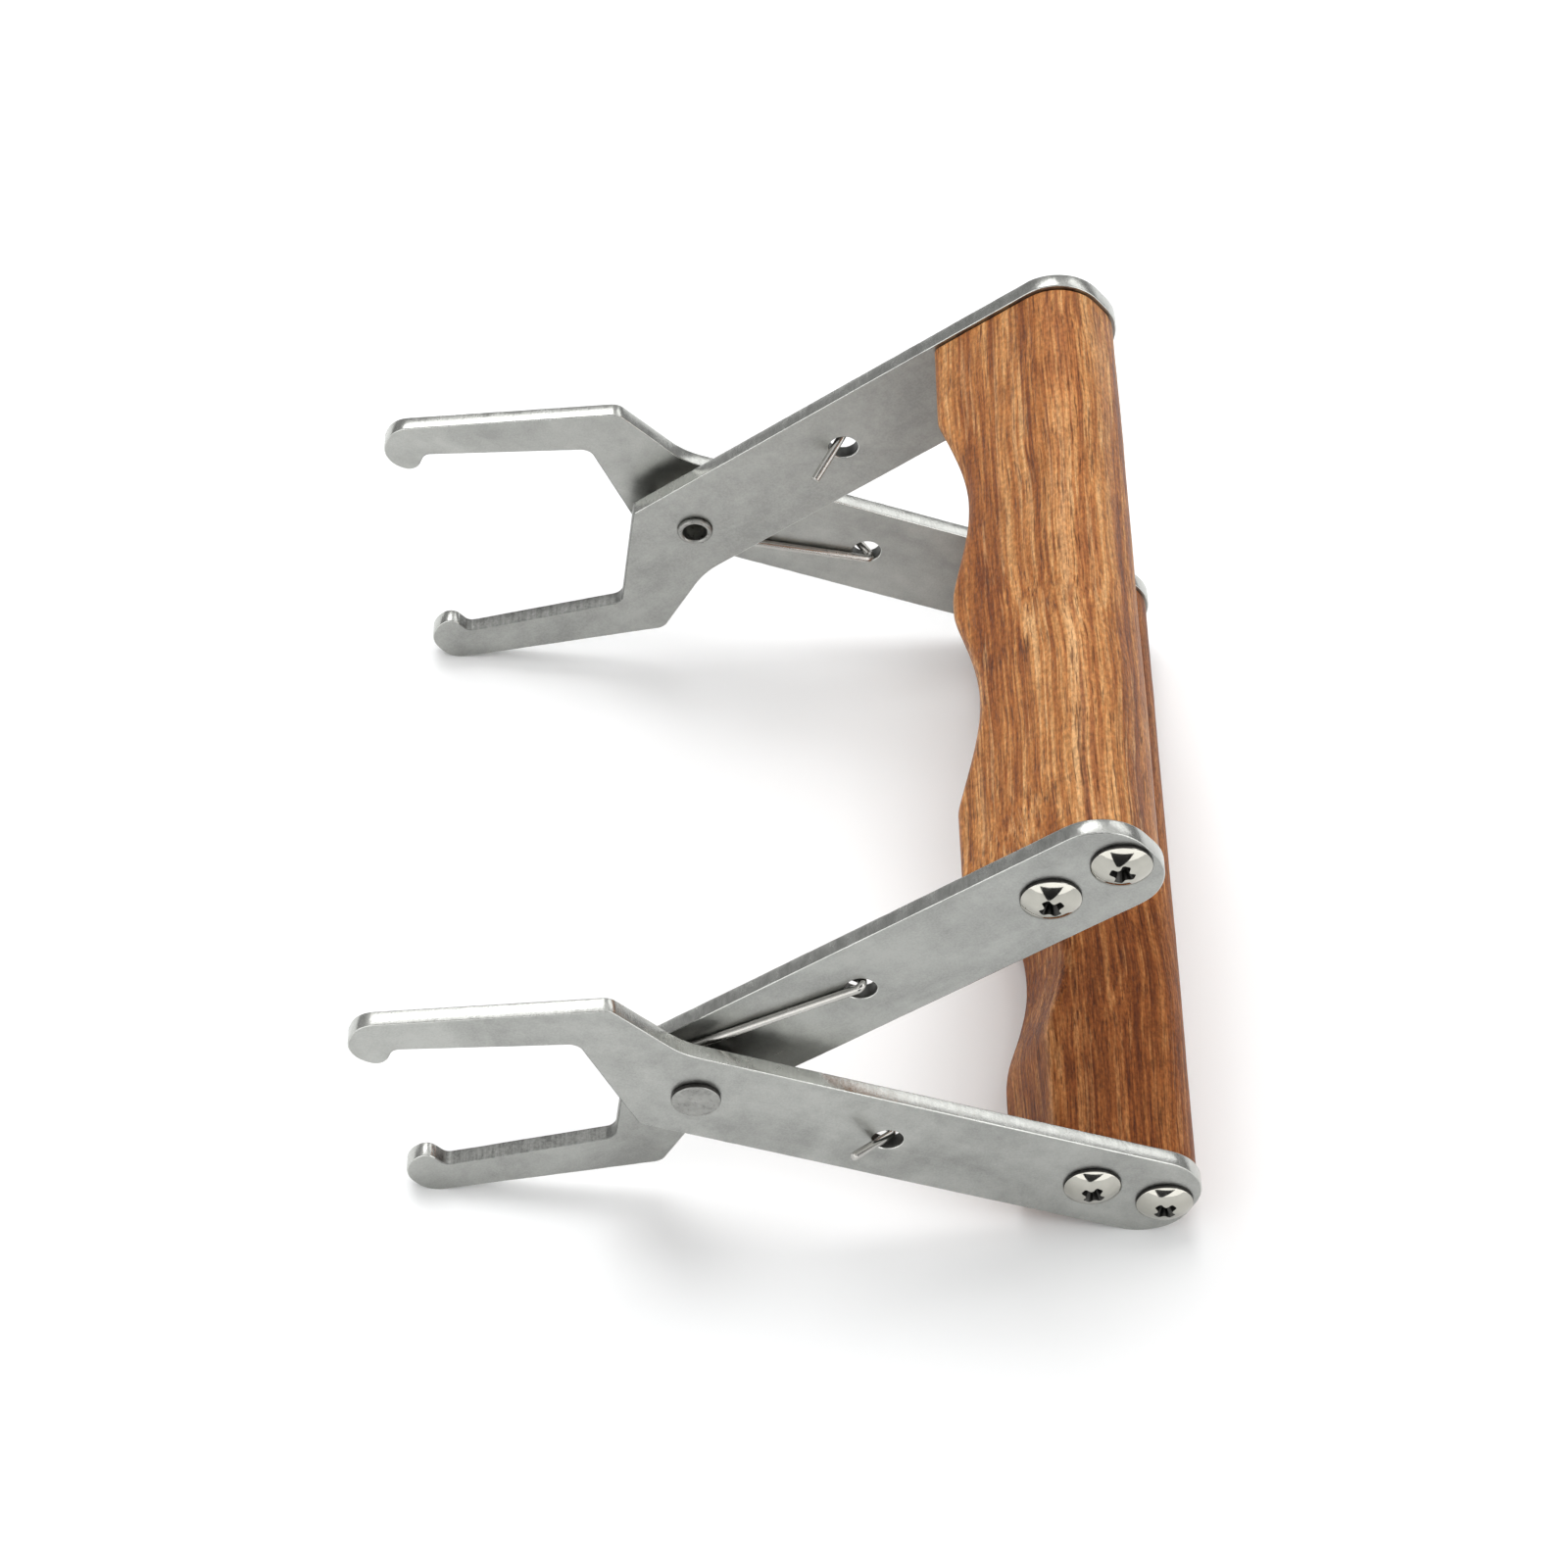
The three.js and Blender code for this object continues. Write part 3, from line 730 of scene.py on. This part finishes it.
def screw_mesh(name):
    """A domed head with a tapered cross recess, on a threaded shank. Its seat is at w = 0."""
    dome = HEAD_HEIGHT - HEAD_RIM
    sphere = (HEAD_RADIUS ** 2 + dome ** 2) / (2 * dome)
    profile = [(0, -SCREW_LENGTH), (0.35, -SCREW_LENGTH + 0.6)]
    w = -SCREW_LENGTH + 2.2
    while w < THREAD_END:
        taper = min(1.0, (w + SCREW_LENGTH) / 5)
        crest = SHANK_RADIUS * taper
        root = (SHANK_RADIUS - THREAD_DEPTH) * taper
        profile += [(root, w), (crest, w + THREAD_PITCH * 0.4), (crest, w + THREAD_PITCH * 0.5),
                    (root, w + THREAD_PITCH * 0.9)]
        w += THREAD_PITCH
    profile += [(SHANK_RADIUS, w), (SHANK_RADIUS, 0), (HEAD_RADIUS - 0.3, 0)]
    bevel = 0.18
    profile += fillet(HEAD_RADIUS - bevel, bevel, bevel, -90, 0)
    profile.append((HEAD_RADIUS, HEAD_RIM - 0.08))
    steps = 30
    edge = math.asin(HEAD_RADIUS / sphere) - 0.012
    for k in range(steps):
        angle = edge * (1 - k / steps)
        profile.append((sphere * math.sin(angle), HEAD_HEIGHT - sphere * (1 - math.cos(angle))))
    profile.append((0, HEAD_HEIGHT))
    points, faces = lathe(profile, 96)
    # The side of the head is painted near-black, as painted shadow and dark reflection.
    rims = [rim_index(points, face, HEAD_RADIUS, 0, HEAD_RIM) for face in faces]
    screw = add_mesh(name, points, faces, [screw_steel, rim_shadow_paint], rims)

    rings, corners = [], []
    for half_span, half_width, inner_radius, end_radius, w in RECESS_LEVELS:
        outline = cross_outline(half_span, half_width, inner_radius, end_radius)
        rings.append(list(range(len(corners), len(corners) + len(outline))))
        corners += [(p.x, p.y, w) for p in outline]
    walls = [tuple(reversed(face)) for face in bridge(rings)]
    walls += [tuple(rings[0]), tuple(reversed(rings[-1]))]
    # The recess walls take the near-black painted shade.
    cutter = add_mesh("cutter", corners, walls, [recess_shade_paint])
    cut = screw.modifiers.new("recess", "BOOLEAN")
    cut.object = cutter
    cut.operation = "DIFFERENCE"
    cut.solver = "EXACT"
    cut.material_mode = "TRANSFER"
    graph = bpy.context.evaluated_depsgraph_get()
    mesh = bpy.data.meshes.new_from_object(screw.evaluated_get(graph))
    bpy.data.objects.remove(screw)
    bpy.data.objects.remove(cutter)
    mesh.set_sharp_from_angle(angle=math.radians(32))
    mesh.name = name
    return mesh


screw_shape = screw_mesh("screw")
for kind, body, arm, outer_sign, face_w in (
    ("upper_handle", "upper_arm", upper_frame, 1, INNER_GAP_FACE),
    ("lower_handle", "lower_arm", lower_frame, -1, OUTER_FACE),
):
    for side, y_sign in SIDES.items():
        w_sign = -outer_sign * y_sign
        for number, u in enumerate(SCREW_US, start=1):
            node = f"{kind}_screw_{side}_{number}"
            screw = bpy.data.objects.new(f"{node}_fine", screw_shape.copy())
            bpy.context.collection.objects.link(screw)
            seat = standing_at(arm, u, w_sign * (face_w + CLEARANCE / 2), w_sign,
                               math.radians(next(SCREW_TURNS)))
            settle(screw, seat, body, node)


# Rivets and bushes

def rivet_profile():
    """Head upwards on w = 0; the tail is hollow, with its lip rolled outwards."""
    tail_w = INNER_FACE - OUTER_FACE - CLEARANCE
    end_w = tail_w - RIVET_TAIL_HEIGHT
    lip = (RIVET_TAIL_RADIUS - RIVET_BORE_RADIUS) / 2
    bevel = 0.15
    shoulder = 0.42
    crown_rise = 0.08
    profile = [(0, end_w + RIVET_BORE_DEPTH + 0.9), (RIVET_BORE_RADIUS, end_w + RIVET_BORE_DEPTH)]
    profile.append((RIVET_BORE_RADIUS, end_w + lip * 1.2))
    for k in range(1, 10):
        angle = math.radians(180 + 180 * k / 10)
        profile.append((RIVET_BORE_RADIUS + lip + lip * math.cos(angle),
                        end_w + lip + lip * math.sin(angle)))
    profile += [(RIVET_TAIL_RADIUS, tail_w - bevel), (RIVET_TAIL_RADIUS - bevel, tail_w)]
    profile += [(RIVET_RADIUS, tail_w), (RIVET_RADIUS, CLEARANCE / 2)]
    profile.append((RIVET_HEAD_RADIUS - bevel, CLEARANCE / 2))
    profile.append((RIVET_HEAD_RADIUS, CLEARANCE / 2 + bevel))
    crown = RIVET_HEAD_RADIUS - shoulder
    profile += fillet(crown, RIVET_HEAD_HEIGHT - shoulder - crown_rise, shoulder, 0, 78, 6)
    for k in range(1, 7):
        share = 1 - k / 6
        profile.append((crown * share, RIVET_HEAD_HEIGHT - crown_rise * share * share))
    return profile


def bush_profile():
    """A plain ring with chamfered corners, with its middle at w = 0."""
    half = (OUTER_GAP_FACE - INNER_GAP_FACE) / 2 - CLEARANCE
    chamfer = 0.25
    corners = [(PIVOT_HOLE_RADIUS, -half), (BUSH_RADIUS, -half), (BUSH_RADIUS, half),
               (PIVOT_HOLE_RADIUS, half)]
    profile = []
    for (radius, w), out in zip(corners, (-1, 1, 1, -1)):
        end = math.copysign(1, w)
        flat = (radius - out * chamfer, w)
        wall = (radius, w - end * chamfer)
        profile += [flat, wall] if out * end < 0 else [wall, flat]
    return profile + profile[:1]


# The lower arm's w runs along y
for side, y_sign in SIDES.items():
    points, faces = lathe(rivet_profile(), 72)
    # The side of the head is painted near-black, as painted shadow and dark reflection.
    rims = [rim_index(points, face, RIVET_HEAD_RADIUS, 0, RIVET_HEAD_HEIGHT - 0.35)
            for face in faces]
    rivet = add_mesh(f"pivot_rivet_{side}_fine", points, faces, [rivet_steel, rim_shadow_paint], rims)
    settle(rivet, standing_at(lower_frame, 0, y_sign * OUTER_FACE, y_sign), "lower_arm",
           f"pivot_rivet_{side}")
    points, faces = lathe(bush_profile(), 72)
    bush = add_mesh(f"pivot_bush_{side}_fine", points, faces, [rivet_steel])
    middle = y_sign * (OUTER_GAP_FACE + INNER_GAP_FACE) / 2
    settle(bush, standing_at(lower_frame, 0, middle, y_sign), "lower_arm",
           f"pivot_bush_{side}")


# Springs

def leg_points():
    """One leg from the coil outwards, as (u, v, depth into the plate from its gap side)."""
    bend_u, bend_v, bend_radius = WIRE_BEND
    points = [(bend_u, bend_v, LEG_DEPTH)]
    steps = 14
    for k in range(1, steps + 1):
        angle = -math.pi / 2 + (math.pi - STUB_LEAN) * k / steps
        points.append((bend_u + bend_radius * math.cos(angle), bend_v,
                       LEG_DEPTH + bend_radius * (1 + math.sin(angle))))
    u, v, depth = points[-1]
    points.append((u - STUB_LENGTH * math.cos(STUB_LEAN), v * 0.4,
                   depth + STUB_LENGTH * math.sin(STUB_LEAN)))
    return points


def spring_path(y_sign):
    """The wire's middle line, in millimetres from the pivot along the row's axes."""
    def on_arm(point, angle, outer_sign, gap_face, depth_sign):
        u, v, depth = point
        return Vector((
            u * math.cos(angle) - outer_sign * v * math.sin(angle),
            y_sign * (gap_face + depth_sign * depth),
            u * math.sin(angle) + outer_sign * v * math.cos(angle),
        ))

    bend_u, bend_v, _ = WIRE_BEND
    reach = math.hypot(bend_u, bend_v)
    tangent = math.atan2(bend_v, bend_u) + math.acos(COIL_RADIUS / reach)
    lower_leg = [on_arm(p, lower_angle, -1, OUTER_GAP_FACE, 1) for p in leg_points()]
    upper_leg = [on_arm(p, upper_angle, 1, INNER_GAP_FACE, -1) for p in leg_points()]
    start = lower_angle - tangent
    overlap = 2 * math.pi - (upper_angle + tangent - start)
    sweep = 2 * math.pi + overlap
    first_w = OUTER_GAP_FACE + LEG_DEPTH
    last_w = INNER_GAP_FACE - LEG_DEPTH
    coil = []
    steps = 140
    for k in range(steps + 1):
        turned = sweep * k / steps
        share = min(1.0, max(0.0, (turned - overlap) / (2 * math.pi - overlap)))
        share = share * share * (3 - 2 * share)
        angle = start - turned
        coil.append(Vector((COIL_RADIUS * math.cos(angle),
                            y_sign * (first_w + (last_w - first_w) * share),
                            COIL_RADIUS * math.sin(angle))))
    return lower_leg[::-1] + coil + upper_leg


def wire_mesh(name, path, radius, sides=20):
    """A round wire along a path, with its cut ends slightly rounded."""
    tangents = []
    for i in range(len(path)):
        before = path[i] - path[i - 1] if i else path[1] - path[0]
        after = path[i + 1] - path[i] if i + 1 < len(path) else before
        tangents.append((before.normalized() + after.normalized()).normalized())
    normal = tangents[0].orthogonal().normalized()
    rows = []
    for i, (place, tangent) in enumerate(zip(path, tangents)):
        normal = (normal - tangent * normal.dot(tangent)).normalized()
        rows.append((place, normal, tangent.cross(normal), radius))
    ends = []
    end_depth = WIRE_END[-1][0]
    for row, tangent in ((rows[0], -tangents[0]), (rows[-1], tangents[-1])):
        place, across, up, _ = row
        cap = [(place - tangent * radius * (end_depth - out), across, up, radius * size)
               for out, size in WIRE_END]
        ends.append(cap)
    place, across, up, _ = rows[0]
    rows[0] = (place + tangents[0] * radius * end_depth, across, up, radius)
    place, across, up, _ = rows[-1]
    rows[-1] = (place - tangents[-1] * radius * end_depth, across, up, radius)
    rows = ends[0][::-1] + rows + ends[1]
    points, rings = [], []
    for place, across, up, size in rows:
        ring = []
        for k in range(sides):
            angle = 2 * math.pi * k / sides
            ring.append(len(points))
            points.append(place + across * (size * math.cos(angle)) + up * (size * math.sin(angle)))
        rings.append(ring)
    faces = bridge(rings)
    faces += [tuple(reversed(rings[0])), tuple(rings[-1])]
    return add_mesh(name, points, faces, [wire_steel], sharp_angle=50)


# The legs lie wholly on their own arms' sides of the middle line.
for side, y_sign in SIDES.items():
    node = f"torsion_spring_{side}"
    spring = wire_mesh(f"{node}_fine", spring_path(y_sign), WIRE_RADIUS)
    spring.matrix_world = Matrix.Translation(pivot)
    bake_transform(spring)
    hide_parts(node)


# Camera: a long lens in front of the tool that looks down on it, slightly turned and rolled
CAMERA_DOWN = math.radians(50.45)
CAMERA_TURN = math.radians(4.975)
CAMERA_ROLL = math.radians(5.1)
CAMERA_DISTANCE = 0.8053
CAMERA_AIM = pivot + Vector((0.0212, -0.0047, -0.0023))
camera_data = bpy.data.cameras.new("camera")
camera_data.sensor_width = 36.0
camera_data.lens = 99.0
camera_data.shift_x = -0.0156
camera_data.shift_y = 0.0156
camera_data.clip_start = 0.01
camera = bpy.data.objects.new("camera", camera_data)
bpy.context.collection.objects.link(camera)
forward = Vector((
    math.sin(CAMERA_TURN) * math.cos(CAMERA_DOWN),
    math.cos(CAMERA_TURN) * math.cos(CAMERA_DOWN),
    -math.sin(CAMERA_DOWN),
))
level = forward.cross(Vector((0, 0, 1))).normalized()
right = level * math.cos(CAMERA_ROLL) + level.cross(forward) * math.sin(CAMERA_ROLL)
view = Matrix((right, right.cross(forward), -forward)).transposed().to_4x4()
view.translation = CAMERA_AIM - forward * CAMERA_DISTANCE
camera.matrix_world = view
bpy.context.scene.camera = camera
bpy.context.scene.view_settings.view_transform = "Standard"


# Stage: a wide white table, an even sky, soft lamps, and flags and cards for the reflections

def flat_stage(name, corners, colour, glow=0.0):
    mesh = bpy.data.meshes.new(name)
    mesh.from_pydata(corners, [], [tuple(range(len(corners)))])
    material = bpy.data.materials.new(name)
    material.use_nodes = True
    shader = material.node_tree.nodes["Principled BSDF"]
    shader.inputs["Base Color"].default_value = (*colour, 1.0)
    shader.inputs["Roughness"].default_value = 0.7
    shader.inputs["Specular IOR Level"].default_value = 0.1
    shader.inputs["Emission Color"].default_value = (1.0, 1.0, 1.0, 1.0)
    shader.inputs["Emission Strength"].default_value = glow
    mesh.materials.append(material)
    thing = bpy.data.objects.new(name, mesh)
    bpy.context.collection.objects.link(thing)
    return thing


TABLE = 20.0
TABLE_WHITE = (0.965, 0.972, 0.975)
CARD_WHITE = (0.9, 0.9, 0.9)
FLAG_BLACK = (0.01, 0.01, 0.012)
FLAG_GREY = (0.06, 0.06, 0.06)
flat_stage("table", [(-TABLE, -TABLE, 0), (TABLE, -TABLE, 0), (TABLE, TABLE, 0), (-TABLE, TABLE, 0)],
           TABLE_WHITE)

# Dark flags and glowing cards, as (name, corners, colour, glow). Only reflections show them: the
# low flag is the dark wedge on the screw heads, and the cards are the bright fields round it.
CARDS = [
    ("low_flag", [(0.02, -0.32, 0.002), (0.05, -0.32, 0.002), (0.74, -1.3, 0.42),
                  (-0.58, -1.3, 0.42)], FLAG_BLACK, 0.0),
    ("high_flag", [(-0.6, -1.0, 1.05), (0.7, -1.0, 1.05), (0.7, -0.62, 1.5),
                   (-0.6, -0.62, 1.5)], FLAG_GREY, 0.0),
    ("left_card", [(-0.9, -1.5, -0.1), (-2.6, -0.9, -0.1), (-2.6, -0.9, 1.0),
                   (-0.9, -1.5, 0.75)], CARD_WHITE, 1.25),
    ("right_card", [(1.08, -1.5, -0.1), (2.6, -0.9, -0.1), (2.6, -0.9, 1.0),
                    (1.08, -1.5, 0.75)], CARD_WHITE, 1.25),
    ("top_card", [(-0.9, -1.32, 0.0), (1.08, -1.32, 0.0), (1.08, -1.32, 0.85),
                  (-0.9, -1.32, 0.85)], CARD_WHITE, 1.2),
    ("back_card", [(0.5, 1.1, 0.62), (1.15, 0.72, 0.62), (1.15, 0.72, 1.2),
                   (0.5, 1.1, 1.2)], CARD_WHITE, 0.85),
]
for card_name, corners, colour, glow in CARDS:
    card = flat_stage(card_name, corners, colour, glow)
    card.visible_camera = False
    card.visible_diffuse = False
    card.visible_shadow = False

world = bpy.data.worlds.new("sky")
bpy.context.scene.world = world
world.use_nodes = True
sky = world.node_tree
direction = sky.nodes.new("ShaderNodeTexCoord").outputs["Generated"]
split = sky.nodes.new("ShaderNodeSeparateXYZ")
ramp = sky.nodes.new("ShaderNodeValToRGB")
sky.links.new(direction, split.inputs[0])
sky.links.new(split.outputs["Z"], ramp.inputs["Fac"])
sky.links.new(ramp.outputs["Color"], sky.nodes["Background"].inputs["Color"])
# The sky's brightness by height, as (height, brightness)
SKY = [(0.02, 0.32), (0.45, 0.39), (0.68, 0.65), (1.0, 1.12)]
elements = ramp.color_ramp.elements
while len(elements) < len(SKY):
    elements.new(0.5)
for element, (height, brightness) in zip(elements, SKY):
    element.position = height
    element.color = (brightness, brightness, brightness, 1.0)


LAMP_AIM = Vector((0, 0, 0.04))


def lamp(name, place, size, energy):
    """A soft lamp that shines on the tool."""
    data = bpy.data.lights.new(name, "AREA")
    data.shape = "RECTANGLE"
    data.size, data.size_y = size
    data.energy = energy
    thing = bpy.data.objects.new(name, data)
    bpy.context.collection.objects.link(thing)
    thing.location = place
    thing.rotation_euler = (LAMP_AIM - Vector(place)).to_track_quat("-Z", "Y").to_euler()
    thing.visible_camera = False
    return thing


lamp("lamp_back", (-0.42, 1.0, 1.35), (0.9, 0.6), 4.0)
lamp("lamp_front_left", (-1.3, -0.9, 1.3), (0.9, 0.9), 2.5)
lamp("lamp_front_right", (1.3, -0.9, 1.3), (0.9, 0.9), 6.0)
key = lamp("lamp_key", (-0.15, 0.42, 1.65), (0.8, 0.7), 10.5)
# The key lamp makes the shadows on the table, but no highlights
key.visible_glossy = False
